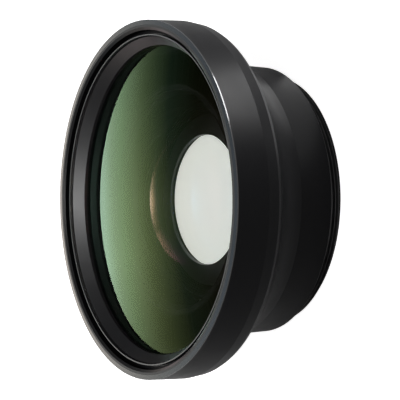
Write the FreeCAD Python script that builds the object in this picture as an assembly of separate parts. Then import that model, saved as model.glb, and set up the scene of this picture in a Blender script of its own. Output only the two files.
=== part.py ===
import FreeCAD, Part
import math
import os

# Wide-angle conversion lens. The optical axis is Z, the large front glass
# faces +Z, and the end of the threaded collar stands on Z = 0. Millimetres.
# Every profile is drawn as (radius, height) and turned about Z.

# Main sizes that can be set by themselves
front_vertex_height = 27.16
seat_height = 3.0
ring_radius = 33.05
barrel_rear_radius = 24.75
rear_bore_radius = 21.6
thread_radius = 23.0
doublet_radius = 16.6

# Front ring of the housing; lengths are measured back from its front rim
vertex_recess = 1.04
ring_bevel_width = 0.9
ring_bevel_depth = 0.06
ring_band_length = 6.65
ring_length = 9.15
ring_facet_step = 0.4
ring_rear_break = 0.25
rim_thickness = 1.85
rim_inner_width = 0.5
rim_inner_depth = 0.28
front_height = front_vertex_height + vertex_recess
rim_wall_radius = ring_radius - rim_thickness
ring_rear_radius = ring_radius - ring_facet_step

# Concave neck, given by its two ends and the slope where it leaves the ring
neck_step = 0.75
neck_front_depth = 9.55
neck_front_slope_deg = 60.0
neck_rear_step = 0.4
neck_rear_height = 9.9
neck_front_radius = ring_radius - neck_step
neck_front_height = front_height - neck_front_depth
neck_rear_radius = barrel_rear_radius + neck_rear_step
barrel_rear_break = 0.3

# Bores of the housing; depths are measured back from the front vertex
thread_step = 0.6
thread_top_depth = 0.71
thread_bottom_gap = 0.14
shoulder_thickness = 1.3
bore_break = 0.2
ring_thread_radius = rim_wall_radius - thread_step
ring_thread_top = front_vertex_height - thread_top_depth

# Front glass, a negative meniscus
front_glass_thickness = 3.0
front_curve = 160.0
bowl_curve = 28.0
glass_step = 0.7
glass_edge_depth = 7.86
glass_back_step = 3.1
glass_back_depth = 10.96
front_glass_radius = ring_thread_radius - glass_step
front_glass_edge_bottom = front_vertex_height - glass_edge_depth
front_glass_back_radius = front_glass_radius - glass_back_step
front_glass_back_height = front_vertex_height - glass_back_depth

# Cone ring that holds the front glass and reaches over its edge
cone_lip_step = 0.2
cone_lip_rise = 0.34
cone_lip_width = 0.2
cone_outer_step = 0.6
cone_outer_depth = 0.26
cone_line_depth = 0.15
cone_width = 1.5
cone_inner_depth = 1.93
foot_step = 0.05
cone_lip_radius = ring_thread_radius - cone_lip_step
cone_lip_top = front_vertex_height + cone_lip_rise
cone_outer_radius = ring_thread_radius - cone_outer_step
cone_outer_height = front_vertex_height - cone_outer_depth
cone_inner_radius = cone_outer_radius - cone_width
cone_inner_height = front_vertex_height - cone_inner_depth
foot_outer_radius = front_glass_radius - foot_step

# Soft ring under the front glass
cushion_thickness = 0.5
cushion_width = 5.8
cushion_step = 0.4
glass_seat_height = front_glass_back_height - cushion_thickness
cushion_outer_radius = front_glass_back_radius - cushion_step
cushion_inner_radius = cushion_outer_radius - cushion_width
shoulder_radius = cushion_inner_radius - cushion_step

# Light baffle
baffle_wall = 2.2
baffle_groove_depth = 0.75
baffle_grooves = 6
baffle_inner_radius = rear_bore_radius - baffle_wall

# Rear cell with the mounting thread
thread_break = 0.15
relief_step = 0.6
relief_length = 0.45
stop_step = 1.6
stop_break = 0.1
collar_wall = 1.5
collar_bore_break = 0.25
collar_bore_depth = 0.45
dish_depth = 0.8
relief_radius = thread_radius - relief_step
collar_bore_radius = thread_radius - collar_wall
stop_radius = doublet_radius - stop_step

# Rear doublet
doublet_rear_vertex = 1.2
doublet_recess = 0.6
doublet_front_curve = 60.0
cement_curve = 60.0
doublet_rear_curve = 200.0
positive_edge = 1.12
negative_thickness = 1.6

# Rear retaining ring
rear_ring_thread_step = 1.2
rear_ring_bore_step = 1.2
rear_ring_mouth_break = 0.7
rear_ring_grip_step = 0.2
rear_ring_bottom = 0.8
slot_width = 1.6
slot_depth = 0.5
rear_ring_thread_radius = doublet_radius + rear_ring_thread_step
rear_ring_bore_radius = doublet_radius - rear_ring_bore_step
rear_ring_mouth_radius = rear_ring_bore_radius + rear_ring_mouth_break
rear_ring_grip_radius = doublet_radius - rear_ring_grip_step

# Clearances
thread_gap = 0.05
glass_gap = 0.1
seat_gap = 0.01

os.makedirs("parts", exist_ok=True)


def sag(curve, radius):
    return curve - math.sqrt(curve * curve - radius * radius)


def dome(vertex, curve, radius):
    """Height of a surface whose rim lies below its vertex."""
    return vertex - sag(curve, radius)


def dish(vertex, curve, radius):
    """Height of a surface whose rim lies above its vertex."""
    return vertex + sag(curve, radius)


def thread_bottom():
    """Foot of the ring's thread, just below the edge of the front glass."""
    return dome(front_vertex_height, front_curve, front_glass_radius) - thread_bottom_gap


def arc_step(surface, vertex, curve, start, end):
    """Three-point arc along a spherical surface from one radius to another."""
    middle = (start + end) / 2
    return (middle, surface(vertex, curve, middle), end, surface(vertex, curve, end))


def turned(steps):
    """Solid of revolution of a closed profile of straight and arc steps."""
    edges = []
    here = steps[0]
    for step in steps[1:] + [steps[0]]:
        end = step[-2:]
        a = FreeCAD.Vector(here[0], 0, here[1])
        b = FreeCAD.Vector(end[0], 0, end[1])
        if a.distanceToPoint(b) > 1e-6:
            if len(step) == 4:
                middle = FreeCAD.Vector(step[0], 0, step[1])
                edges.append(Part.Arc(a, middle, b).toShape())
            else:
                edges.append(Part.LineSegment(a, b).toShape())
        here = end
    face = Part.Face(Part.Wire(edges))
    return face.revolve(FreeCAD.Vector(0, 0, 0), FreeCAD.Vector(0, 0, 1), 360)


def save(shape, node):
    solid = shape.Solids[0] if len(shape.Solids) == 1 else shape
    solid.exportStep("parts/" + node + ".step")
    print(node, round(solid.Volume, 1), solid.isValid())


def neck_arc():
    """Arc from the ring's rear to the barrel, tangent to the stated slope."""
    dr = neck_rear_radius - neck_front_radius
    dz = neck_rear_height - neck_front_height
    slope = math.radians(neck_front_slope_deg)
    chord = math.hypot(dr, dz)
    turn = slope - math.atan2(-dr, -dz)
    curve = chord / (2 * math.sin(turn))
    centre_r = neck_front_radius + curve * math.cos(slope)
    centre_z = neck_front_height - curve * math.sin(slope)
    mid_r = (neck_front_radius + neck_rear_radius) / 2 - centre_r
    mid_z = (neck_front_height + neck_rear_height) / 2 - centre_z
    reach = curve / math.hypot(mid_r, mid_z)
    middle = (centre_r + mid_r * reach, centre_z + mid_z * reach)
    return middle + (neck_rear_radius, neck_rear_height)


def main_barrel():
    rim = front_height
    ring_rear = rim - ring_length
    shoulder_bottom = glass_seat_height - shoulder_thickness
    pocket_radius = front_glass_radius + glass_gap
    pocket_foot_radius = front_glass_back_radius + glass_gap
    pocket_foot = front_glass_back_height - glass_gap
    pocket_cone_top = front_glass_edge_bottom - glass_gap / 2
    return turned([
        (rim_wall_radius, rim - rim_inner_depth),
        (rim_wall_radius + rim_inner_width, rim),
        (ring_radius - ring_bevel_width, rim),
        (ring_radius, rim - ring_bevel_depth),
        (ring_radius, rim - ring_band_length),
        (ring_rear_radius, ring_rear + ring_rear_break),
        (neck_front_radius, neck_front_height),
        neck_arc(),
        (barrel_rear_radius, seat_height + barrel_rear_break),
        (barrel_rear_radius - barrel_rear_break, seat_height),
        (rear_bore_radius + bore_break, seat_height),
        (rear_bore_radius, seat_height + bore_break),
        (rear_bore_radius, shoulder_bottom),
        (shoulder_radius, shoulder_bottom),
        (shoulder_radius, glass_seat_height),
        (pocket_foot_radius, glass_seat_height),
        (pocket_foot_radius, pocket_foot),
        (pocket_radius, pocket_cone_top),
        (pocket_radius, thread_bottom()),
        (ring_thread_radius, thread_bottom()),
        (ring_thread_radius, ring_thread_top),
        (rim_wall_radius, ring_thread_top),
    ])


def front_lens():
    edge_top = dome(front_vertex_height, front_curve, front_glass_radius)
    bowl_vertex = front_vertex_height - front_glass_thickness
    bowl_depth = bowl_vertex - front_glass_back_height
    bowl_radius = math.sqrt(bowl_curve ** 2 - (bowl_curve - bowl_depth) ** 2)
    return turned([
        (0, bowl_vertex),
        (0, front_vertex_height),
        arc_step(dome, front_vertex_height, front_curve, 0, front_glass_radius),
        (front_glass_radius, min(edge_top, front_glass_edge_bottom)),
        (front_glass_back_radius, front_glass_back_height),
        (bowl_radius, front_glass_back_height),
        arc_step(dome, bowl_vertex, bowl_curve, bowl_radius, 0),
    ])


def front_retaining_ring():
    outer = ring_thread_radius - thread_gap
    seat = front_vertex_height + seat_gap
    foot_outer = dome(seat, front_curve, foot_outer_radius)
    lip_inner = cone_lip_radius - cone_lip_width
    return turned([
        (outer, foot_outer),
        (outer, ring_thread_top),
        (cone_lip_radius, ring_thread_top),
        (cone_lip_radius, cone_lip_top),
        (lip_inner, cone_lip_top),
        (cone_outer_radius + cone_line_depth, cone_outer_height),
        (cone_outer_radius + cone_line_depth, cone_outer_height - cone_line_depth),
        (cone_outer_radius, cone_outer_height),
        (cone_inner_radius, cone_inner_height),
        (cone_inner_radius, dome(seat, front_curve, cone_inner_radius)),
        arc_step(dome, seat, front_curve, cone_inner_radius, foot_outer_radius),
    ])


def front_seat_ring():
    top = front_glass_back_height
    return turned([
        (cushion_inner_radius, glass_seat_height),
        (cushion_outer_radius, glass_seat_height),
        (cushion_outer_radius, top),
        (cushion_inner_radius, top),
    ])


def light_baffle():
    """Sleeve whose bore is cut into sharp ribs that face the front."""
    outer = rear_bore_radius - thread_gap
    top = glass_seat_height - shoulder_thickness
    pitch = (top - cell_front()) / baffle_grooves
    steps = [(outer, cell_front()), (outer, top)]
    for n in range(baffle_grooves):
        rib = top - n * pitch
        steps.append((baffle_inner_radius, rib))
        steps.append((baffle_inner_radius, rib - pitch / 5))
        steps.append((baffle_inner_radius + baffle_groove_depth, rib - pitch))
    return turned(steps)


def doublet_heights():
    """Vertex heights of the three surfaces of the rear group."""
    cement = doublet_rear_vertex + negative_thickness
    bulge = sag(doublet_front_curve, doublet_radius) + sag(cement_curve, doublet_radius)
    return cement + positive_edge + bulge, cement, doublet_rear_vertex


def cell_front():
    """Front face of the rear cell, a little behind the front vertex of its glass."""
    return doublet_heights()[0] - doublet_recess


def rear_mount_cell():
    front, cement, rear = doublet_heights()
    sleeve = rear_bore_radius - thread_gap
    bore = doublet_radius + glass_gap / 2
    seat = front + seat_gap
    lens_edge_rear = dish(rear, doublet_rear_curve, doublet_radius)
    dish_foot = rear_ring_thread_radius + bore_break
    return turned([
        (thread_radius - thread_break, 0),
        (thread_radius, thread_break),
        (thread_radius, seat_height - relief_length - thread_break),
        (relief_radius, seat_height - relief_length),
        (relief_radius, seat_height),
        (sleeve, seat_height),
        (sleeve, cell_front()),
        (stop_radius + stop_break, cell_front()),
        (stop_radius, cell_front() - stop_break),
        (stop_radius, dome(seat, doublet_front_curve, stop_radius)),
        arc_step(dome, seat, doublet_front_curve, stop_radius, bore),
        (bore, lens_edge_rear),
        (rear_ring_thread_radius, lens_edge_rear),
        (rear_ring_thread_radius, dish_depth),
        (dish_foot, dish_depth),
        (collar_bore_radius, collar_bore_depth),
        (collar_bore_radius, collar_bore_break),
        (collar_bore_radius + collar_bore_break, 0),
    ])


def rear_doublet_positive():
    front, cement, rear = doublet_heights()
    edge_front = dome(front, doublet_front_curve, doublet_radius)
    return turned([
        (0, cement),
        (0, front),
        arc_step(dome, front, doublet_front_curve, 0, doublet_radius),
        (doublet_radius, min(edge_front, dish(cement, cement_curve, doublet_radius))),
        arc_step(dish, cement, cement_curve, doublet_radius, 0),
    ])


def rear_doublet_negative():
    front, cement, rear = doublet_heights()
    return turned([
        (0, rear),
        (0, cement),
        arc_step(dish, cement, cement_curve, 0, doublet_radius),
        (doublet_radius, dish(rear, doublet_rear_curve, doublet_radius)),
        arc_step(dish, rear, doublet_rear_curve, doublet_radius, 0),
    ])


def rear_retaining_ring():
    front, cement, rear = doublet_heights()
    seat = rear - seat_gap
    outer = rear_ring_thread_radius - thread_gap
    grip_top = dish(seat, doublet_rear_curve, rear_ring_grip_radius)
    mouth_height = rear_ring_bottom + rear_ring_mouth_radius - rear_ring_bore_radius
    ring = turned([
        (rear_ring_mouth_radius, rear_ring_bottom),
        (outer, rear_ring_bottom),
        (outer, grip_top),
        (rear_ring_grip_radius, grip_top),
        arc_step(dish, seat, doublet_rear_curve, rear_ring_grip_radius, rear_ring_bore_radius),
        (rear_ring_bore_radius, mouth_height),
    ])
    corner = FreeCAD.Vector(-thread_radius, -slot_width / 2, rear_ring_bottom - slot_depth)
    slot = Part.makeBox(2 * thread_radius, slot_width, 2 * slot_depth, corner)
    return ring.cut(slot)


save(main_barrel(), "main_barrel")
save(front_retaining_ring(), "front_retaining_ring")
save(front_lens(), "front_lens")
save(front_seat_ring(), "front_seat_ring")
save(light_baffle(), "light_baffle")
save(rear_mount_cell(), "rear_mount_cell")
save(rear_doublet_positive(), "rear_doublet_positive")
save(rear_doublet_negative(), "rear_doublet_negative")
save(rear_retaining_ring(), "rear_retaining_ring")
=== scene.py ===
import math

import bmesh
import bpy
from mathutils import Matrix, Vector


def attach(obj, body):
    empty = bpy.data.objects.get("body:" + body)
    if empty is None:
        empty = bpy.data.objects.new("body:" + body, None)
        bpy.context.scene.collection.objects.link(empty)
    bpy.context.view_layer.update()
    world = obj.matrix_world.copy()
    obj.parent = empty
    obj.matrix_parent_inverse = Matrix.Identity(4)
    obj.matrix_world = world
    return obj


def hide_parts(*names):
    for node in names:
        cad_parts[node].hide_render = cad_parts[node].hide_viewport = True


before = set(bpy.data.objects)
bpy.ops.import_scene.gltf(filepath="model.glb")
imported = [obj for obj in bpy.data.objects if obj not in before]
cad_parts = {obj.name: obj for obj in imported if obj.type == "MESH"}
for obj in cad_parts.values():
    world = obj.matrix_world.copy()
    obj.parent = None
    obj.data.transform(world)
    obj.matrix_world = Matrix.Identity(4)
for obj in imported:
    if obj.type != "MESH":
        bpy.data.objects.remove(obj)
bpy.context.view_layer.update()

bl_info = {
    "name": "Wide-angle conversion lens",
    "version": (1, 0, 0),
    "blender": (4, 5, 0),
    "location": "3D View > Sidebar > Lens",
    "description": "Glass, mounting thread, finishes and studio of a conversion lens",
    "category": "Object",
}

# Everything is in metres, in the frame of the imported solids: the optical
# axis is Z, the large front glass faces +Z, the thread stands on Z = 0.
MM = 0.001
BODY = "root"
WELD = 2e-6  # points that lie closer together become one
TINY = 1e-7  # a smaller radius is on the axis, and a smaller edge is no edge
GRAIN_RELIEF = 0.004 * MM  # height of the lathe lines and the grain

# Colour of the studio's glow as (place, red, green, blue). The place is the
# direction's Z, to which GLOW_LEAN times its X is added where X is above 0.
GLOW_COLOURS = (
    (0.0, 0.22, 0.22, 0.22), (0.06, 0.25, 0.25, 0.25), (0.11, 0.58, 0.49, 0.50),
    (0.26, 0.70, 0.61, 0.60), (0.32, 0.53, 0.47, 0.43), (0.37, 0.44, 0.42, 0.37),
    (0.43, 0.33, 0.32, 0.30), (0.49, 0.19, 0.20, 0.19), (0.545, 0.098, 0.12, 0.13),
    (0.60, 0.030, 0.048, 0.068), (0.656, 0.020, 0.032, 0.044), (0.70, 0.013, 0.018, 0.022),
    (1.0, 0.013, 0.013, 0.013),
)
GLOW_LEAN = 0.44

# Share of the glow across the studio as (place, share), the place being the
# direction's X plus GLOW_MIDDLE.
GLOW_ACROSS = (
    (0.0, 0.38), (0.08, 0.12), (0.22, 0.4), (0.3, 0.52), (0.36, 0.78), (0.42, 1.0),
    (0.5, 0.93), (0.6, 0.82), (0.7, 0.48), (0.8, 0.3), (0.92, 0.08), (1.0, 0.09),
)
GLOW_MIDDLE = 0.5


def length_mm(name, default, description):
    return bpy.props.FloatProperty(
        name=name, description=description, default=default * MM, unit="LENGTH", precision=5,
    )


def length_m(name, default, description):
    return bpy.props.FloatProperty(
        name=name, description=description, default=default, unit="LENGTH",
    )


def point_m(name, default, description):
    return bpy.props.FloatVectorProperty(
        name=name, description=description, default=default, size=3, subtype="TRANSLATION",
        precision=5,
    )


def angle_deg(name, default, description):
    return bpy.props.FloatProperty(
        name=name, description=description, default=math.radians(default), subtype="ANGLE",
    )


def share(name, default, description):
    return bpy.props.FloatProperty(
        name=name, description=description, default=default, min=0.0, max=1.0, subtype="FACTOR",
    )


def number(name, default, description):
    return bpy.props.FloatProperty(name=name, description=description, default=default)


def count(name, default, description):
    return bpy.props.IntProperty(name=name, description=description, default=default, min=1)


def colour(name, default, description):
    return bpy.props.FloatVectorProperty(
        name=name, description=description, default=default, size=3, min=0.0, max=1.0,
        subtype="COLOR",
    )


class GlassSizes(bpy.types.PropertyGroup):
    front_vertex: length_mm("Front vertex", 27.16, "Height of the middle of the front glass")
    front_thickness: length_mm("Front thickness", 3.0, "Front glass at its middle")
    front_curve: length_mm("Front curve", 160.0, "Radius of the outer surface")
    bowl_curve: length_mm("Bowl curve", 28.0, "Radius of the hollow inner surface")
    front_radius: length_mm("Front radius", 29.9, "Edge of the front glass")
    edge_bottom: length_mm("Edge bottom", 19.3, "Height where the edge starts to slope")
    back_radius: length_mm("Back radius", 26.8, "Outside of the flat back rim")
    back_height: length_mm("Back height", 16.2, "Height of the flat back rim")
    rear_radius: length_mm("Rear radius", 16.6, "Edge of the rear group")
    rear_front_vertex: length_mm("Rear group front", 8.604, "Height of its front vertex")
    rear_back_vertex: length_mm("Rear group back", 1.2, "Height of its rear vertex")
    rear_front_curve: length_mm("Rear group front curve", 60.0, "Radius of its front surface")
    rear_back_curve: length_mm("Rear group back curve", 200.0, "Radius of its rear surface")
    front_ior: number("Front index", 1.52, "Refractive index of the front glass")
    rear_ior: number("Rear index", 1.6, "Refractive index of the rear group")
    coating_ior: number("Coating index", 1.33, "Refractive index of the coating")
    front_coating: number("Front coating", 545.0, "Coating thickness in nanometres")
    rear_coating: number("Rear coating", 180.0, "Coating thickness in nanometres")
    rings: count("Rings", 72, "Rings of faces on each optical surface")
    segments: count("Segments", 288, "Faces around each turned surface")


class ThreadSizes(bpy.types.PropertyGroup):
    major_radius: length_mm("Major radius", 23.0, "Crest of the mounting thread")
    pitch: length_mm("Pitch", 0.75, "Rise of one turn")
    depth: length_mm("Depth", 0.46, "From crest to root")
    start_break: length_mm("Start break", 0.15, "Chamfer at the end of the collar")
    wall_top: length_mm("Wall top", 2.4, "Height where the full thread ends")
    run_out: length_mm("Run-out", 0.15, "Length of the slope into the relief")
    relief_radius: length_mm("Relief radius", 22.4, "Groove behind the thread")
    face_radius: length_mm("Face radius", 22.0, "Where the thread meets the end face")
    crest_share: share("Crest share", 0.14, "Flat of the crest as a share of the pitch")
    root_share: share("Root share", 0.2, "Flat of the root as a share of the pitch")
    rows: count("Rows", 10, "Rows of faces in one turn")


class CellSizes(bpy.types.PropertyGroup):
    seat_height: length_mm("Seat height", 3.0, "Where the cell meets the barrel's rear end")
    sleeve_radius: length_mm("Sleeve radius", 21.55, "Length inside the barrel")
    front_height: length_mm("Front height", 8.004, "Inner end of the cell")
    stop_radius: length_mm("Stop radius", 15.0, "Opening in front of the rear group")
    stop_break: length_mm("Stop break", 0.1, "Chamfer of that opening")
    seat_gap: length_mm("Seat gap", 0.01, "Between the stop and the rear group")
    edge_gap: length_mm("Edge gap", 0.05, "Around the edge of the rear group")
    ring_radius: length_mm("Ring radius", 17.8, "Bore for the rear retaining ring")
    dish_radius: length_mm("Dish radius", 18.0, "Foot of the sloped rear face")
    dish_depth: length_mm("Dish depth", 0.8, "Height of that foot")
    mouth_radius: length_mm("Mouth radius", 21.5, "Bore at the rear end")
    mouth_depth: length_mm("Mouth depth", 0.45, "Height where that bore ends")
    mouth_break: length_mm("Mouth break", 0.25, "Chamfer at the rear end")


# Where the bevels and the lip take their painted highlight.
class RimSizes(bpy.types.PropertyGroup):
    bevel_radius: length_mm("Bevel radius", 32.15, "Where the housing's bevel starts")
    bevel_height: length_mm("Bevel height", 28.13, "Just under the housing's bevel")
    face_height: length_mm("Face height", 27.91, "Just under the rim's inner chamfer")
    lip_radius: length_mm("Lip radius", 29.99, "Where the retaining ring's lip starts")
    lip_height: length_mm("Lip height", 27.42, "Just under the retaining ring's lip")


class Finishes(bpy.types.PropertyGroup):
    anodised: colour("Anodised black", (0.0035, 0.0035, 0.004), "Housing")
    turned: colour("Turned black", (0.014, 0.014, 0.015), "Retaining rings")
    thread: colour("Thread black", (0.012, 0.012, 0.013), "Rear cell")
    matt: colour("Matt black", (0.004, 0.004, 0.004), "Baffle and glass edges")
    soft: colour("Soft black", (0.010, 0.010, 0.010), "Ring under the front glass")
    # Lighter colour of the bevels and the lip: a painted highlight, beside the real gloss of their
    # coat.
    bright: colour("Bright edge", (0.018, 0.018, 0.018), "Polished bevel round the front face")
    rim: colour("Rim black", (0.013, 0.013, 0.0135), "Front face of the housing")
    front_glass: colour("Front glass", (0.97, 1.0, 0.965), "Body of the front glass")
    rear_glass: colour("Rear glass", (0.99, 1.0, 0.99), "Body of the rear group")


class StudioSizes(bpy.types.PropertyGroup):
    floor_radius: length_m("Floor radius", 3.0, "Half width of the floor")
    floor_glow: share("Floor glow", 0.95, "Light that the floor shows the camera")
    metal_share: share("Glow in metal", 0.2, "Share of it that a reflection shows")
    glass_share: share("Glow in glass", 0.46, "Share of it that a ray through glass shows")
    camera_distance: length_m("Camera distance", 0.5788, "From the aim point")
    camera_lens: number("Camera lens", 280.9, "Focal length in millimetres")
    camera_sensor: number("Camera sensor", 36.0, "Sensor width in millimetres")
    camera_tilt: angle_deg("Camera tilt", 59.5, "Angle between the lens axis and the view")
    camera_roll: angle_deg("Camera roll", -0.25, "Turn about the view")
    aim_height: length_mm("Aim height", 16.28, "Height of the aim point")
    aim_side: length_mm("Aim side", -0.08, "Side step of the aim point")


class LampSizes(bpy.types.PropertyGroup):
    over_place: point_m("Over camera", (0.0, -0.284, 0.78), "Large lamp above the camera")
    over_aim: point_m("Over camera aim", (0.0, 0.0, 0.02), "Where that lamp points")
    over_width: length_m("Over camera width", 0.30, "Along X")
    over_height: length_m("Over camera height", 0.67, "Across X")
    over_strength: number("Over camera strength", 11.0, "Radiance of its face")
    side_place: point_m("Side strip", (0.077, -0.0529, 0.0005), "Strip beside the lens")
    side_length: length_m("Side strip length", 0.075, "Before its turn, along X")
    side_strength: number("Side strip strength", 22.0, "Radiance of its face")
    near_place: point_m("Near strip", (0.0241, -0.0247, 0.0005), "Short strip by the collar")
    near_length: length_m("Near strip length", 0.015, "Before its turn, along X")
    near_strength: number("Near strip strength", 2.0, "Radiance of its face")
    strip_width: length_m("Strip width", 0.034, "Width of both strips")
    strip_turn: angle_deg("Strip turn", -28.0, "Turn of both strips on the floor")


class LensSettings(bpy.types.PropertyGroup):
    glass: bpy.props.PointerProperty(type=GlassSizes, name="Glass", description="Optics")
    thread: bpy.props.PointerProperty(type=ThreadSizes, name="Thread", description="Rear thread")
    cell: bpy.props.PointerProperty(type=CellSizes, name="Cell", description="Rear cell")
    rim: bpy.props.PointerProperty(type=RimSizes, name="Rim", description="Bright edges")
    finish: bpy.props.PointerProperty(type=Finishes, name="Finish", description="Colours")
    studio: bpy.props.PointerProperty(type=StudioSizes, name="Studio", description="Stage")
    lamps: bpy.props.PointerProperty(type=LampSizes, name="Lamps", description="Studio lamps")


def settings():
    return bpy.context.scene.conversion_lens


# Shader helpers

def new_material(name):
    material = bpy.data.materials.new(name)
    material.use_nodes = True
    nodes = material.node_tree.nodes
    return material, nodes, material.node_tree.links, nodes["Principled BSDF"]


def add_socket(tree, name, way, kind, default=None):
    socket = tree.interface.new_socket(name=name, in_out=way, socket_type=kind)
    if default is not None:
        socket.default_value = default
    return socket


def math_node(nodes, links, operation, *values):
    """Result of a Math node whose inputs are numbers or sockets."""
    node = nodes.new("ShaderNodeMath")
    node.operation = operation
    for socket, value in zip(node.inputs, values):
        if isinstance(value, (int, float)):
            socket.default_value = value
        else:
            links.new(value, socket)
    return node.outputs[0]


def turned_finish_group():
    """Lathe lines, a fine satin grain and an uneven roughness, about the Z axis."""
    tree = bpy.data.node_groups.new("turned_finish", "ShaderNodeTree")
    add_socket(tree, "Vector", "INPUT", "NodeSocketVector")
    add_socket(tree, "Color", "INPUT", "NodeSocketColor", (0.01, 0.01, 0.01, 1.0))
    add_socket(tree, "Roughness", "INPUT", "NodeSocketFloat", 0.4)
    add_socket(tree, "Line Pitch", "INPUT", "NodeSocketFloat", 0.0002)
    add_socket(tree, "Line Depth", "INPUT", "NodeSocketFloat", 0.3)
    add_socket(tree, "Grain Scale", "INPUT", "NodeSocketFloat", 6000.0)
    add_socket(tree, "Color", "OUTPUT", "NodeSocketColor")
    add_socket(tree, "Roughness", "OUTPUT", "NodeSocketFloat")
    add_socket(tree, "Height", "OUTPUT", "NodeSocketFloat")
    nodes, links = tree.nodes, tree.links
    source = nodes.new("NodeGroupInput")
    result = nodes.new("NodeGroupOutput")
    split = nodes.new("ShaderNodeSeparateXYZ")
    links.new(source.outputs["Vector"], split.inputs[0])
    x, y, z = split.outputs
    x_square = math_node(nodes, links, "MULTIPLY", x, x)
    radius = math_node(nodes, links, "SQRT",
                       math_node(nodes, links, "MULTIPLY_ADD", y, y, x_square))
    along = math_node(nodes, links, "ADD", radius, z)
    turns = math_node(nodes, links, "DIVIDE", along, source.outputs["Line Pitch"])
    line_noise = nodes.new("ShaderNodeTexNoise")
    line_noise.noise_dimensions = "1D"
    line_noise.inputs["Scale"].default_value = 1.0
    line_noise.inputs["Detail"].default_value = 3.0
    links.new(turns, line_noise.inputs["W"])
    grain = nodes.new("ShaderNodeTexNoise")
    grain.inputs["Detail"].default_value = 2.0
    links.new(source.outputs["Vector"], grain.inputs["Vector"])
    links.new(source.outputs["Grain Scale"], grain.inputs["Scale"])
    lines = math_node(nodes, links, "MULTIPLY", line_noise.outputs[0],
                      source.outputs["Line Depth"])
    links.new(math_node(nodes, links, "ADD", lines, grain.outputs[0]), result.inputs["Height"])
    smear = nodes.new("ShaderNodeTexNoise")
    smear.inputs["Scale"].default_value = 240.0
    smear.inputs["Detail"].default_value = 4.0
    links.new(source.outputs["Vector"], smear.inputs["Vector"])
    unevenness, contrast = 0.12, 0.5
    shift = math_node(nodes, links, "MULTIPLY_ADD", smear.outputs[0], unevenness,
                      -unevenness / 2)
    links.new(math_node(nodes, links, "ADD", source.outputs["Roughness"], shift),
              result.inputs["Roughness"])
    lift = math_node(nodes, links, "MULTIPLY_ADD", grain.outputs[0], contrast, 1 - contrast / 2)
    scale = nodes.new("ShaderNodeVectorMath")
    scale.operation = "SCALE"
    links.new(source.outputs["Color"], scale.inputs[0])
    links.new(lift, scale.inputs["Scale"])
    links.new(scale.outputs[0], result.inputs["Color"])
    return tree


def black_finish(name, tint, roughness, line_pitch, line_depth, grain_scale, gloss,
                 spread=0.0):
    """Blackened metal: gloss is the specular level, spread the pull of the lathe lines."""
    material, nodes, links, shader = new_material(name)
    group = nodes.new("ShaderNodeGroup")
    group.node_tree = bpy.data.node_groups.get("turned_finish") or turned_finish_group()
    place = nodes.new("ShaderNodeTexCoord")
    links.new(place.outputs["Object"], group.inputs["Vector"])
    group.inputs["Color"].default_value = (*tint, 1.0)
    group.inputs["Roughness"].default_value = roughness
    group.inputs["Line Pitch"].default_value = line_pitch * MM
    group.inputs["Line Depth"].default_value = line_depth
    group.inputs["Grain Scale"].default_value = grain_scale
    relief = nodes.new("ShaderNodeBump")
    relief.inputs["Strength"].default_value = 1.0
    relief.inputs["Distance"].default_value = GRAIN_RELIEF
    links.new(group.outputs["Height"], relief.inputs["Height"])
    links.new(group.outputs["Color"], shader.inputs["Base Color"])
    links.new(group.outputs["Roughness"], shader.inputs["Roughness"])
    links.new(relief.outputs[0], shader.inputs["Normal"])
    shader.inputs["Specular IOR Level"].default_value = gloss
    if spread:
        tangent = nodes.new("ShaderNodeTangent")
        tangent.direction_type = "RADIAL"
        tangent.axis = "Z"
        links.new(tangent.outputs[0], shader.inputs["Tangent"])
        shader.inputs["Anisotropic"].default_value = spread
    return material


def edge_paint(name):
    """Black paint on the edge of a glass."""
    return black_finish(name, settings().finish.matt, roughness=0.7, line_pitch=0.2,
                        line_depth=0.2, grain_scale=5000, gloss=0.2)


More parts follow.
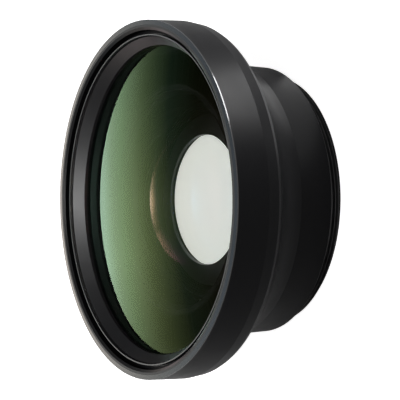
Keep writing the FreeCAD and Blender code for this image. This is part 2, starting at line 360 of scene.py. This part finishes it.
def painted_edge_highlight_group():
    """Painted highlight: a lighter colour on the bevel outside a radius, and a glossier coat there
    and on the face, each above its height; above its height the face also takes its own colour.
    """
    tree = bpy.data.node_groups.new("painted_edge_highlight", "ShaderNodeTree")
    add_socket(tree, "Vector", "INPUT", "NodeSocketVector")
    add_socket(tree, "Color", "INPUT", "NodeSocketColor", (0.01, 0.01, 0.01, 1.0))
    add_socket(tree, "Face Color", "INPUT", "NodeSocketColor", (0.01, 0.01, 0.01, 1.0))
    add_socket(tree, "Painted Highlight Color", "INPUT", "NodeSocketColor", (0.1, 0.1, 0.1, 1.0))
    add_socket(tree, "Edge Radius", "INPUT", "NodeSocketFloat", 0.0)
    add_socket(tree, "Edge Height", "INPUT", "NodeSocketFloat", 0.0)
    add_socket(tree, "Face Height", "INPUT", "NodeSocketFloat", 0.0)
    add_socket(tree, "Face Coat", "INPUT", "NodeSocketFloat", 0.5)
    add_socket(tree, "Edge Coat", "INPUT", "NodeSocketFloat", 1.0)
    add_socket(tree, "Color", "OUTPUT", "NodeSocketColor")
    add_socket(tree, "Coat Weight", "OUTPUT", "NodeSocketFloat")
    nodes, links = tree.nodes, tree.links
    source = nodes.new("NodeGroupInput")
    result = nodes.new("NodeGroupOutput")
    split = nodes.new("ShaderNodeSeparateXYZ")
    links.new(source.outputs["Vector"], split.inputs[0])
    flat = nodes.new("ShaderNodeCombineXYZ")
    links.new(split.outputs[0], flat.inputs[0])
    links.new(split.outputs[1], flat.inputs[1])
    length = nodes.new("ShaderNodeVectorMath")
    length.operation = "LENGTH"
    links.new(flat.outputs[0], length.inputs[0])
    outer = math_node(nodes, links, "GREATER_THAN", length.outputs["Value"],
                      source.outputs["Edge Radius"])
    upper = math_node(nodes, links, "GREATER_THAN", split.outputs[2],
                      source.outputs["Edge Height"])
    edge = math_node(nodes, links, "MULTIPLY", outer, upper)
    face = math_node(nodes, links, "GREATER_THAN", split.outputs[2],
                     source.outputs["Face Height"])
    below = source.outputs["Color"]
    # The lighter colour over the bevel mask is a painted highlight.
    for mask, above in ((face, "Face Color"), (edge, "Painted Highlight Color")):
        mix = nodes.new("ShaderNodeMix")
        mix.data_type = "RGBA"
        links.new(mask, mix.inputs["Factor"])
        links.new(below, mix.inputs[6])
        links.new(source.outputs[above], mix.inputs[7])
        below = mix.outputs[2]
    links.new(below, result.inputs["Color"])
    face = math_node(nodes, links, "MULTIPLY", face, source.outputs["Face Coat"])
    edge = math_node(nodes, links, "MULTIPLY", edge, source.outputs["Edge Coat"])
    links.new(math_node(nodes, links, "MAXIMUM", face, edge), result.inputs["Coat Weight"])
    return tree


def coat_and_paint_edge_highlight(material, face_tint, edge_radius, edge_height, face_height, face_coat,
                  edge_coat):
    """Adds a painted highlight, a lighter colour, with a glossier coat to a bevel or lip, and a
    face colour with a glossier coat to the face of a finish.
    """
    nodes, links = material.node_tree.nodes, material.node_tree.links
    shader = nodes["Principled BSDF"]
    group = nodes.new("ShaderNodeGroup")
    group.node_tree = bpy.data.node_groups.get("painted_edge_highlight") or painted_edge_highlight_group()
    place = nodes.new("ShaderNodeTexCoord")
    links.new(place.outputs["Object"], group.inputs["Vector"])
    links.new(shader.inputs["Base Color"].links[0].from_socket, group.inputs["Color"])
    group.inputs["Face Color"].default_value = (*face_tint, 1.0)
    group.inputs["Painted Highlight Color"].default_value = (*settings().finish.bright, 1.0)
    group.inputs["Edge Radius"].default_value = edge_radius
    group.inputs["Edge Height"].default_value = edge_height
    group.inputs["Face Height"].default_value = face_height
    group.inputs["Face Coat"].default_value = face_coat
    group.inputs["Edge Coat"].default_value = edge_coat
    links.new(group.outputs["Color"], shader.inputs["Base Color"])
    links.new(group.outputs["Coat Weight"], shader.inputs["Coat Weight"])
    shader.inputs["Coat Roughness"].default_value = 0.16
    shader.inputs["Coat IOR"].default_value = 2.0


def glass_finish(name, ior, body, coating_ior, coating):
    """Polished glass under a thin coating, whose colour shifts with the angle."""
    material, _, _, shader = new_material(name)
    shader.inputs["Base Color"].default_value = (*body, 1.0)
    shader.inputs["Roughness"].default_value = 0.0
    shader.inputs["IOR"].default_value = ior
    shader.inputs["Transmission Weight"].default_value = 1.0
    shader.inputs["Thin Film Thickness"].default_value = coating
    shader.inputs["Thin Film IOR"].default_value = coating_ior
    return material


# Mesh helpers

def cap_point(vertex, curve, radius, way):
    """Height of a spherical surface; way is -1 where its rim lies below its vertex."""
    return vertex + way * (curve - math.sqrt(curve * curve - radius * radius))


def cap(vertex, curve, start, end, way, rings):
    """Profile points of a spherical surface from one radius to another."""
    points = []
    for n in range(rings + 1):
        radius = start + (end - start) * n / rings
        points.append((radius, cap_point(vertex, curve, radius, way)))
    return points


def turned_mesh(name, runs, segments):
    """Closed mesh turned about Z from runs of (points, material number)."""
    work = bmesh.new()
    rings = {}

    def ring_at(radius, height):
        key = (round(radius, 8), round(height, 8))
        if key not in rings:
            steps = segments if radius > TINY else 1
            turns = [2 * math.pi * s / segments for s in range(steps)]
            rings[key] = [work.verts.new((radius * math.cos(t), radius * math.sin(t), height))
                          for t in turns]
        return rings[key]

    for points, material_number in runs:
        for start, end in zip(points, points[1:]):
            join_rings(work, ring_at(*start), ring_at(*end), segments, material_number)
    bmesh.ops.recalc_face_normals(work, faces=work.faces)
    mark_sharp(work)
    mesh = bpy.data.meshes.new(name)
    work.to_mesh(mesh)
    work.free()
    return mesh


def join_rings(work, lower, upper, segments, material_number):
    """Faces between two rings, either of which may be a single point."""
    for s in range(segments):
        t = (s + 1) % segments
        corners = []
        for ring, at in ((lower, s), (lower, t), (upper, t), (upper, s)):
            corner = ring[0] if len(ring) == 1 else ring[at]
            if corner not in corners:
                corners.append(corner)
        work.faces.new(corners).material_index = material_number


def mark_sharp(work, angle=math.radians(20)):
    """Smooth shading, apart from edges that turn by more than the angle."""
    for face in work.faces:
        face.smooth = True
    for edge in work.edges:
        edge.smooth = len(edge.link_faces) == 2 and edge.calc_face_angle() < angle


def add_piece(mesh, materials, nodes_replaced):
    """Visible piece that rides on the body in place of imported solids."""
    piece = bpy.data.objects.new(mesh.name, mesh)
    bpy.context.collection.objects.link(piece)
    for material in materials:
        mesh.materials.append(material)
    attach(piece, BODY)
    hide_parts(*nodes_replaced)


def dress(node, material):
    """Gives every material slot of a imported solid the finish."""
    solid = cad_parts[node]
    if not solid.data.materials:
        solid.data.materials.append(material)
    for slot in solid.material_slots:
        slot.material = material


class LENS_OT_front_glass(bpy.types.Operator):
    """Front meniscus: two polished surfaces, blackened edge, slope and back rim"""
    bl_idname = "lens.front_glass"
    bl_label = "Front glass"

    def execute(self, context):
        size = settings().glass
        finish = settings().finish
        edge_top = cap_point(size.front_vertex, size.front_curve, size.front_radius, -1)
        bowl_vertex = size.front_vertex - size.front_thickness
        depth = bowl_vertex - size.back_height
        bowl_radius = math.sqrt(size.bowl_curve ** 2 - (size.bowl_curve - depth) ** 2)
        outer = cap(size.front_vertex, size.front_curve, 0.0, size.front_radius, -1, size.rings)
        bowl = cap(bowl_vertex, size.bowl_curve, bowl_radius, 0.0, -1, size.rings)
        bowl[0] = (bowl_radius, size.back_height)
        edge = [(size.front_radius, edge_top), (size.front_radius, size.edge_bottom)]
        slope = [edge[-1], (size.back_radius, size.back_height)]
        back = [slope[-1], bowl[0]]
        runs = [(outer, 0), (edge, 1), (slope, 1), (back, 1), (bowl, 0)]
        mesh = turned_mesh("front_glass", runs, size.segments)
        glass = glass_finish("coated_front_glass", size.front_ior, finish.front_glass,
                             size.coating_ior, size.front_coating)
        add_piece(mesh, [glass, edge_paint("glass_edge_black")], ["front_lens"])
        return {"FINISHED"}


class LENS_OT_rear_glass(bpy.types.Operator):
    """Rear cemented group, seen as one body of glass with a blackened edge"""
    bl_idname = "lens.rear_glass"
    bl_label = "Rear glass"

    def execute(self, context):
        size = settings().glass
        finish = settings().finish
        front = cap(size.rear_front_vertex, size.rear_front_curve, 0.0, size.rear_radius, -1,
                    size.rings)
        back = cap(size.rear_back_vertex, size.rear_back_curve, size.rear_radius, 0.0, 1,
                   size.rings)
        edge = [front[-1], back[0]]
        mesh = turned_mesh("rear_glass_group", [(front, 0), (edge, 1), (back, 0)], size.segments)
        glass = glass_finish("coated_rear_glass", size.rear_ior, finish.rear_glass,
                             size.coating_ior, size.rear_coating)
        add_piece(mesh, [glass, edge_paint("rear_edge_black")],
                  ["rear_doublet_positive", "rear_doublet_negative"])
        return {"FINISHED"}


def thread_tree(material):
    """Geometry Nodes: a right-handed thread as one skin of rows that climb with the helix."""
    tree = bpy.data.node_groups.new("mount_thread", "GeometryNodeTree")
    add_socket(tree, "Geometry", "INPUT", "NodeSocketGeometry")
    keys = {}
    for name in ("Segments", "Rows", "Rows per Turn"):
        keys[name] = add_socket(tree, name, "INPUT", "NodeSocketInt").identifier
    for name in ("Pitch", "Major Radius", "Depth", "Start Break", "Wall Top", "Run-out",
                 "Relief Radius", "Face Radius", "Crest Share", "Root Share"):
        keys[name] = add_socket(tree, name, "INPUT", "NodeSocketFloat").identifier
    add_socket(tree, "Geometry", "OUTPUT", "NodeSocketGeometry")
    nodes, links = tree.nodes, tree.links
    out = nodes.new("NodeGroupInput").outputs
    result = nodes.new("NodeGroupOutput")

    def calc(operation, *values):
        return math_node(nodes, links, operation, *values)

    grid = nodes.new("GeometryNodeMeshGrid")
    links.new(calc("ADD", out["Segments"], 1), grid.inputs["Vertices X"])
    links.new(out["Rows"], grid.inputs["Vertices Y"])
    split = nodes.new("ShaderNodeSeparateXYZ")
    links.new(nodes.new("GeometryNodeInputPosition").outputs[0], split.inputs[0])
    around = calc("ADD", split.outputs["X"], 0.5)
    row = calc("MULTIPLY", calc("ADD", split.outputs["Y"], 0.5), calc("SUBTRACT", out["Rows"], 1))
    step = calc("DIVIDE", calc("SUBTRACT", row, 1), out["Rows per Turn"])
    climb = calc("MULTIPLY", calc("SUBTRACT", calc("ADD", step, around), 1), out["Pitch"])
    top = calc("ADD", out["Wall Top"], out["Run-out"])
    height = calc("MINIMUM", calc("MAXIMUM", climb, 0.0), top)
    phase = calc("FRACT", calc("SUBTRACT", calc("DIVIDE", height, out["Pitch"]), around))
    wave = calc("ABSOLUTE", calc("SUBTRACT", calc("MULTIPLY", phase, 2.0), 1.0))
    slope = calc("SUBTRACT", calc("SUBTRACT", 1.0, out["Root Share"]), out["Crest Share"])
    fill = calc("DIVIDE", calc("SUBTRACT", wave, out["Root Share"]), slope)
    fill = calc("MINIMUM", calc("MAXIMUM", fill, 0.0), 1.0)
    hollow = calc("MULTIPLY", calc("SUBTRACT", 1.0, fill), out["Depth"])
    thread = calc("SUBTRACT", out["Major Radius"], hollow)
    start = calc("ADD", calc("SUBTRACT", out["Major Radius"], out["Start Break"]), height)
    past = calc("DIVIDE", calc("SUBTRACT", height, out["Wall Top"]), out["Run-out"])
    drop = calc("SUBTRACT", out["Major Radius"], out["Relief Radius"])
    end = calc("SUBTRACT", out["Major Radius"], calc("MULTIPLY", calc("MAXIMUM", past, 0.0), drop))
    radius = calc("MINIMUM", calc("MINIMUM", thread, start), end)
    first_row = calc("LESS_THAN", row, 0.5)
    shift = calc("MULTIPLY", first_row, calc("SUBTRACT", out["Face Radius"], radius))
    radius = calc("ADD", radius, shift)
    height = calc("MULTIPLY", height, calc("SUBTRACT", 1.0, first_row))
    turn = calc("MULTIPLY", around, 2 * math.pi)
    place = nodes.new("ShaderNodeCombineXYZ")
    links.new(calc("MULTIPLY", radius, calc("COSINE", turn)), place.inputs["X"])
    links.new(calc("MULTIPLY", radius, calc("SINE", turn)), place.inputs["Y"])
    links.new(height, place.inputs["Z"])
    wrap = nodes.new("GeometryNodeSetPosition")
    links.new(grid.outputs["Mesh"], wrap.inputs["Geometry"])
    links.new(place.outputs[0], wrap.inputs["Position"])
    weld = nodes.new("GeometryNodeMergeByDistance")
    weld.inputs["Distance"].default_value = WELD
    links.new(wrap.outputs[0], weld.inputs["Geometry"])
    solid = nodes.new("GeometryNodeRealizeInstances")
    links.new(weld.outputs[0], solid.inputs[0])
    finish = nodes.new("GeometryNodeSetMaterial")
    finish.inputs["Material"].default_value = material
    links.new(solid.outputs[0], finish.inputs["Geometry"])
    links.new(finish.outputs[0], result.inputs[0])
    return tree, keys


def run_tree(name, tree, keys, values):
    """Plain mesh of a Geometry Nodes tree."""
    base = bpy.data.objects.new(name, bpy.data.meshes.new(name))
    bpy.context.collection.objects.link(base)
    modifier = base.modifiers.new(name, "NODES")
    modifier.node_group = tree
    for label, value in values.items():
        modifier[keys[label]] = value
    deps = bpy.context.evaluated_depsgraph_get()
    mesh = bpy.data.meshes.new_from_object(base.evaluated_get(deps))
    bpy.data.objects.remove(base)
    if not mesh.polygons:
        raise RuntimeError(name + " made no faces")
    return mesh


class LENS_OT_rear_cell(bpy.types.Operator):
    """Rear cell with its bores and the fine mounting thread"""
    bl_idname = "lens.rear_cell"
    bl_label = "Rear cell"

    def execute(self, context):
        size = settings().thread
        cell = settings().cell
        glass = settings().glass
        bore = glass.rear_radius + cell.edge_gap
        seat_vertex = glass.rear_front_vertex + cell.seat_gap
        back = cap_point(glass.rear_back_vertex, glass.rear_back_curve, glass.rear_radius, 1)
        top = size.wall_top + size.run_out
        points = [
            (size.relief_radius, top),
            (size.relief_radius, cell.seat_height),
            (cell.sleeve_radius, cell.seat_height),
            (cell.sleeve_radius, cell.front_height),
            (cell.stop_radius + cell.stop_break, cell.front_height),
            (cell.stop_radius, cell.front_height - cell.stop_break),
            *cap(seat_vertex, glass.rear_front_curve, cell.stop_radius, bore, -1, 1),
            (bore, back),
            (cell.ring_radius, back),
            (cell.ring_radius, cell.dish_depth),
            (cell.dish_radius, cell.dish_depth),
            (cell.mouth_radius, cell.mouth_depth),
            (cell.mouth_radius, cell.mouth_break),
            (cell.mouth_radius + cell.mouth_break, 0.0),
            (size.face_radius, 0.0),
        ]
        metal = black_finish("thread_black", settings().finish.thread, roughness=0.36,
                             line_pitch=0.15, line_depth=0.3, grain_scale=6000, gloss=0.9)
        # The thread joins the cell ring to ring, so both have as many segments.
        mesh = turned_mesh("rear_cell", [(points, 0)], glass.segments)
        turns = top / size.pitch + 1
        tree, keys = thread_tree(metal)
        skin = run_tree("mount_thread", tree, keys, {
            "Segments": glass.segments, "Rows": math.ceil(turns * size.rows) + 2,
            "Rows per Turn": size.rows, "Pitch": size.pitch, "Major Radius": size.major_radius,
            "Depth": size.depth, "Start Break": size.start_break, "Wall Top": size.wall_top,
            "Run-out": size.run_out, "Relief Radius": size.relief_radius,
            "Face Radius": size.face_radius, "Crest Share": size.crest_share,
            "Root Share": size.root_share,
        })
        join_into(mesh, skin)
        add_piece(mesh, [metal], ["rear_mount_cell"])
        return {"FINISHED"}


def join_into(mesh, other):
    """Welds a second mesh to a mesh along their shared rings."""
    work = bmesh.new()
    work.from_mesh(mesh)
    work.from_mesh(other)
    bmesh.ops.remove_doubles(work, verts=work.verts, dist=WELD)
    bmesh.ops.dissolve_degenerate(work, edges=work.edges, dist=TINY)
    bmesh.ops.recalc_face_normals(work, faces=work.faces)
    for face in work.faces:
        face.material_index = 0
    mark_sharp(work)
    open_edges = sum(1 for edge in work.edges if len(edge.link_faces) != 2)
    if open_edges:
        raise RuntimeError("%d open edges on %s" % (open_edges, mesh.name))
    work.to_mesh(mesh)
    work.free()
    bpy.data.meshes.remove(other)


class LENS_OT_metal(bpy.types.Operator):
    """Finishes of the housing, the retaining rings, the baffle and the soft ring"""
    bl_idname = "lens.metal"
    bl_label = "Metal finishes"

    def execute(self, context):
        tint = settings().finish
        rim = settings().rim
        housing = black_finish("anodised_black", tint.anodised, roughness=0.40, line_pitch=0.12,
                               line_depth=0.35, grain_scale=5000, gloss=0.05, spread=0.4)
        # The housing's bevel and the rings' lip get a painted highlight; the housing's front face
        # gets a lighter colour.
        coat_and_paint_edge_highlight(housing, tint.rim, rim.bevel_radius, rim.bevel_height, rim.face_height,
                      face_coat=0.33, edge_coat=0.8)
        rings = black_finish("turned_black", tint.turned, roughness=0.38, line_pitch=0.1,
                             line_depth=0.5, grain_scale=6000, gloss=0.55, spread=0.5)
        coat_and_paint_edge_highlight(rings, tint.turned, rim.lip_radius, rim.lip_height, rim.lip_height,
                      face_coat=0.3, edge_coat=0.6)
        matt = black_finish("matt_black", tint.matt, roughness=0.75, line_pitch=0.3,
                            line_depth=0.2, grain_scale=4000, gloss=0.15)
        soft = black_finish("soft_black", tint.soft, roughness=0.65, line_pitch=0.3,
                            line_depth=0.1, grain_scale=3000, gloss=0.3)
        dress("main_barrel", housing)
        dress("front_retaining_ring", rings)
        dress("rear_retaining_ring", rings)
        dress("light_baffle", matt)
        dress("front_seat_ring", soft)
        return {"FINISHED"}


def add_lamp(name, place, turn, width, height, strength):
    """Rectangular lamp, hidden from the camera; strength is its face's radiance."""
    data = bpy.data.lights.new(name, "AREA")
    data.shape = "RECTANGLE"
    data.size = width
    data.size_y = height
    data.energy = strength * width * height * math.pi
    lamp = bpy.data.objects.new(name, data)
    lamp.location = place
    lamp.rotation_euler = turn
    lamp.visible_camera = False
    bpy.context.collection.objects.link(lamp)
    return lamp


def floor_material(size):
    """Pale floor that glows for the camera, and partly so in metal and through glass."""
    material, nodes, links, shader = new_material("studio_floor")
    shader.inputs["Base Color"].default_value = (0.8, 0.8, 0.8, 1.0)
    shader.inputs["Roughness"].default_value = 0.9
    shader.inputs["Specular IOR Level"].default_value = 0.0
    path = nodes.new("ShaderNodeLightPath")
    seen = path.outputs["Is Camera Ray"]
    for ray, part in (("Is Glossy Ray", size.metal_share),
                      ("Is Transmission Ray", size.glass_share)):
        more = math_node(nodes, links, "MULTIPLY", path.outputs[ray], part)
        seen = math_node(nodes, links, "ADD", seen, more)
    glow = math_node(nodes, links, "MULTIPLY", math_node(nodes, links, "MINIMUM", seen, 1.0),
                     size.floor_glow)
    shader.inputs["Emission Color"].default_value = (1.0, 1.0, 1.0, 1.0)
    links.new(glow, shader.inputs["Emission Strength"])
    return material


def fill_ramp(ramp, stops):
    """Fills a colour ramp with stops of a position and a colour."""
    while len(ramp.elements) > 1:
        ramp.elements.remove(ramp.elements[0])
    for n, (at, red, green, blue) in enumerate(stops):
        stop = ramp.elements[0] if n == 0 else ramp.elements.new(at)
        stop.position = at
        stop.color = (red, green, blue, 1.0)


def studio_world():
    """White to the camera; a glow on the side away from it lights everything else."""
    world = bpy.data.worlds.new("studio_world")
    world.use_nodes = True
    nodes, links = world.node_tree.nodes, world.node_tree.links
    ground = nodes["Background"]
    place = nodes.new("ShaderNodeTexCoord")
    split = nodes.new("ShaderNodeSeparateXYZ")
    links.new(place.outputs["Generated"], split.inputs[0])
    x, y, z = split.outputs
    height = nodes.new("ShaderNodeValToRGB")
    fill_ramp(height.color_ramp, GLOW_COLOURS)
    lean = math_node(nodes, links, "MULTIPLY", math_node(nodes, links, "MAXIMUM", x, 0.0),
                     GLOW_LEAN)
    links.new(math_node(nodes, links, "ADD", z, lean), height.inputs[0])
    across = nodes.new("ShaderNodeValToRGB")
    fill_ramp(across.color_ramp, [(at, part, part, part) for at, part in GLOW_ACROSS])
    links.new(math_node(nodes, links, "ADD", x, GLOW_MIDDLE), across.inputs[0])
    side = nodes.new("ShaderNodeMapRange")
    side.interpolation_type = "SMOOTHSTEP"
    side.inputs["From Min"].default_value = 0.1
    side.inputs["From Max"].default_value = 0.7
    side.inputs["To Min"].default_value = 0.03
    side.inputs["To Max"].default_value = 5.3
    links.new(y, side.inputs["Value"])
    level = math_node(nodes, links, "MULTIPLY", across.outputs[0], side.outputs[0])
    path = nodes.new("ShaderNodeLightPath")
    for kind, socket, glow, white in (
        ("FLOAT", "Strength", level, 1.0),
        ("RGBA", "Color", height.outputs[0], (1.0, 1.0, 1.0, 1.0)),
    ):
        mix = nodes.new("ShaderNodeMix")
        mix.data_type = kind
        first, second, result = (2, 3, 0) if kind == "FLOAT" else (6, 7, 2)
        links.new(path.outputs["Is Camera Ray"], mix.inputs[0])
        links.new(glow, mix.inputs[first])
        mix.inputs[second].default_value = white
        links.new(mix.outputs[result], ground.inputs[socket])
    bpy.context.scene.world = world


class LENS_OT_studio(bpy.types.Operator):
    """Floor, world, lamps and the camera of the photograph"""
    bl_idname = "lens.studio"
    bl_label = "Studio"

    def execute(self, context):
        size = settings().studio
        lamps = settings().lamps
        bpy.ops.mesh.primitive_circle_add(vertices=96, radius=size.floor_radius, fill_type="NGON")
        floor = bpy.context.object
        floor.name = "studio_floor"
        floor.data.materials.append(floor_material(size))
        studio_world()
        view = Vector(lamps.over_aim) - Vector(lamps.over_place)
        over = add_lamp("over_camera", lamps.over_place, view.to_track_quat("-Z", "Y").to_euler(),
                        lamps.over_width, lamps.over_height, lamps.over_strength)
        over.visible_transmission = False
        upward = (math.pi, 0.0, lamps.strip_turn)
        add_lamp("side_strip", lamps.side_place, upward, lamps.side_length, lamps.strip_width,
                 lamps.side_strength)
        add_lamp("near_strip", lamps.near_place, upward, lamps.near_length, lamps.strip_width,
                 lamps.near_strength)
        set_camera(size)
        bpy.context.scene.view_settings.view_transform = "Standard"
        return {"FINISHED"}


def set_camera(size):
    """Camera of the photograph, whose picture has +X up and +Z to the left."""
    tilt = size.camera_tilt
    towards = Vector((0.0, -math.sin(tilt), math.cos(tilt)))
    right = Vector((0.0, -math.cos(tilt), -math.sin(tilt)))
    up = Vector((1.0, 0.0, 0.0))
    roll = size.camera_roll
    across = math.cos(roll) * right + math.sin(roll) * up
    over = -math.sin(roll) * right + math.cos(roll) * up
    aim = Vector((size.aim_side, 0.0, size.aim_height))
    data = bpy.data.cameras.new("camera")
    data.lens = size.camera_lens
    data.sensor_width = size.camera_sensor
    data.clip_start = 0.01
    data.clip_end = 100.0
    camera = bpy.data.objects.new("camera", data)
    turn = Matrix((across, over, towards)).transposed().to_4x4()
    camera.matrix_world = Matrix.Translation(aim + size.camera_distance * towards) @ turn
    bpy.context.collection.objects.link(camera)
    bpy.context.scene.camera = camera


OPERATORS = (
    LENS_OT_front_glass, LENS_OT_rear_glass, LENS_OT_rear_cell, LENS_OT_metal, LENS_OT_studio,
)


class LENS_PT_panel(bpy.types.Panel):
    """Sidebar list of the pieces and their sizes"""
    bl_idname = "LENS_PT_panel"
    bl_label = "Conversion lens"
    bl_space_type = "VIEW_3D"
    bl_region_type = "UI"
    bl_category = "Lens"

    def draw(self, context):
        for operator in OPERATORS:
            self.layout.operator(operator.bl_idname)
        for group in ("glass", "thread", "cell", "rim", "finish", "studio", "lamps"):
            values = getattr(settings(), group)
            box = self.layout.box()
            for name in values.__annotations__:
                box.prop(values, name)


GROUPS = (
    GlassSizes, ThreadSizes, CellSizes, RimSizes, Finishes, StudioSizes, LampSizes, LensSettings,
)


def register():
    for item in GROUPS + OPERATORS + (LENS_PT_panel,):
        bpy.utils.register_class(item)
    bpy.types.Scene.conversion_lens = bpy.props.PointerProperty(type=LensSettings)


def unregister():
    del bpy.types.Scene.conversion_lens
    for item in reversed(GROUPS + OPERATORS + (LENS_PT_panel,)):
        bpy.utils.unregister_class(item)


def main():
    register()
    bpy.ops.lens.front_glass()
    bpy.ops.lens.rear_glass()
    bpy.ops.lens.rear_cell()
    bpy.ops.lens.metal()
    bpy.ops.lens.studio()


if __name__ == "__main__":
    main()
